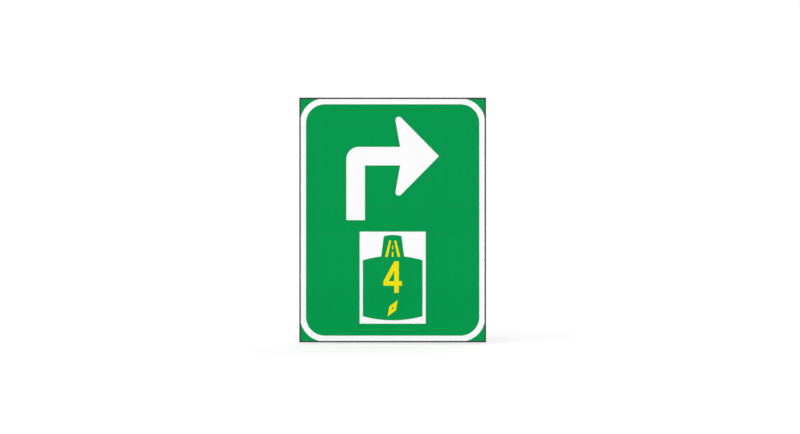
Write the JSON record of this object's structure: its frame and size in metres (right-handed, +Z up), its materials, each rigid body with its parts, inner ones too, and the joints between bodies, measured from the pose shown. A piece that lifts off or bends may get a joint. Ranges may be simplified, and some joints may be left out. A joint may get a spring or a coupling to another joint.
{
  "type": "overhead route marker sign",
  "caption": "Overhead route marker sign: green plank face with white border, bent arrow and marker plate, clamped to vertical hangers and two mounting rails behind.",
  "frame": {"origin": "centre of the rear face of the upper rail, where the sign is held", "axes": "+Z up, +X to the right of someone who reads the sign, +Y out of the rear face, so the sign's front faces -Y"},
  "size_m": [2.066, 0.2031, 2.708],
  "materials": {
    "mill_aluminium": "satin",
    "green_sheeting": "satin",
    "dark_trim": "satin",
    "white_plate": "satin",
    "yellow_sheeting": "satin",
    "galvanised_steel": "matte",
    "cast_aluminium": "matte"
  },
  "bodies": {
    "root": {"plank_1": "mill_aluminium", "plank_2": "mill_aluminium", "plank_3": "mill_aluminium", "plank_4": "mill_aluminium", "plank_5": "mill_aluminium", "plank_6": "mill_aluminium", "plank_7": "mill_aluminium", "plank_8": "mill_aluminium", "plank_9": "mill_aluminium", "green_sheeting": "green_sheeting", "marker_shield": "green_sheeting", "trim_top": "dark_trim", "trim_bottom": "dark_trim", "trim_left": "dark_trim", "trim_right": "dark_trim", "border_top": "white_plate", "border_bottom": "white_plate", "border_left": "white_plate", "border_right": "white_plate", "border_corners": "white_plate", "turn_arrow": "white_plate", "marker_plate": "white_plate", "route_number": "yellow_sheeting", "road_mark": "yellow_sheeting", "needle_mark": "yellow_sheeting", "hanger_left": "galvanised_steel", "hanger_right": "galvanised_steel", "rail_upper": "galvanised_steel", "rail_lower": "galvanised_steel", "rail_caps_upper": "galvanised_steel", "rail_caps_lower": "galvanised_steel", "clips_left": "cast_aluminium", "clips_right": "cast_aluminium"}
  },
  "joints": []
}
